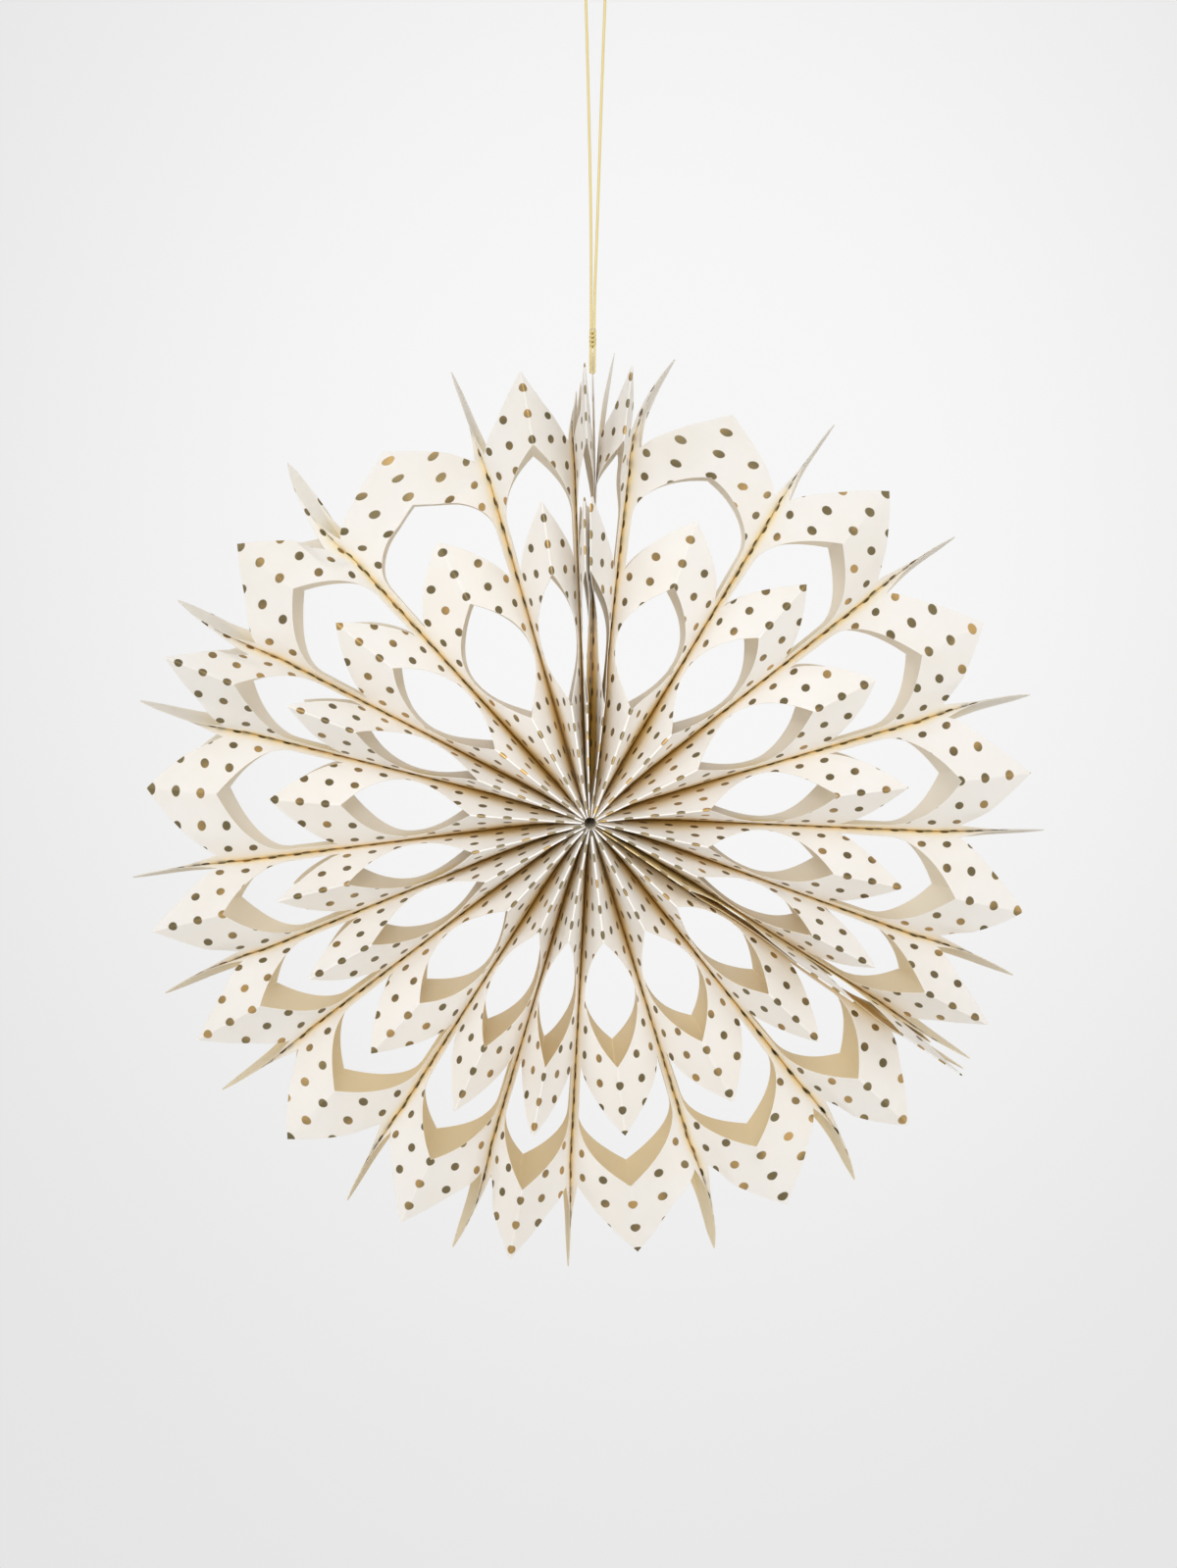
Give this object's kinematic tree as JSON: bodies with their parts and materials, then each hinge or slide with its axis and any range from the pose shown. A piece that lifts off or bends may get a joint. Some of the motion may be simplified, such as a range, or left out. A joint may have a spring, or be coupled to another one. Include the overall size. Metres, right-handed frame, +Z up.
{
  "type": "hanging paper star",
  "caption": "Hanging star folded from cut paper bags, fanned into a full circle of pointed pockets with eye-shaped windows and printed dots, on a doubled gold thread.",
  "frame": {"origin": "centre of the star's hub, midway between its front and back, which is the centre of the star's box", "axes": "+Z up along the star as it hangs, -Y towards its front face, +X to the right seen from the front"},
  "size_m": [0.4535, 0.086, 0.6461],
  "materials": {
    "dotted_paper": "off-white matt paper with small round dots in a muted ochre",
    "gold_thread": "thin gold thread with a light sheen"
  },
  "bodies": {
    "root": {"pocket_01": "dotted_paper", "pocket_02": "dotted_paper", "pocket_03": "dotted_paper", "pocket_04": "dotted_paper", "pocket_05": "dotted_paper", "pocket_06": "dotted_paper", "pocket_07": "dotted_paper", "pocket_08": "dotted_paper", "pocket_09": "dotted_paper", "pocket_10": "dotted_paper", "pocket_11": "dotted_paper", "pocket_12": "dotted_paper", "pocket_13": "dotted_paper", "pocket_14": "dotted_paper", "pocket_15": "dotted_paper", "pocket_16": "dotted_paper", "pocket_17": "dotted_paper", "pocket_18": "dotted_paper", "pocket_19": "dotted_paper", "pocket_20": "dotted_paper", "pocket_21": "dotted_paper", "pocket_22": "dotted_paper", "hanging_thread": "gold_thread", "thread_knot": "gold_thread"}
  },
  "joints": []
}
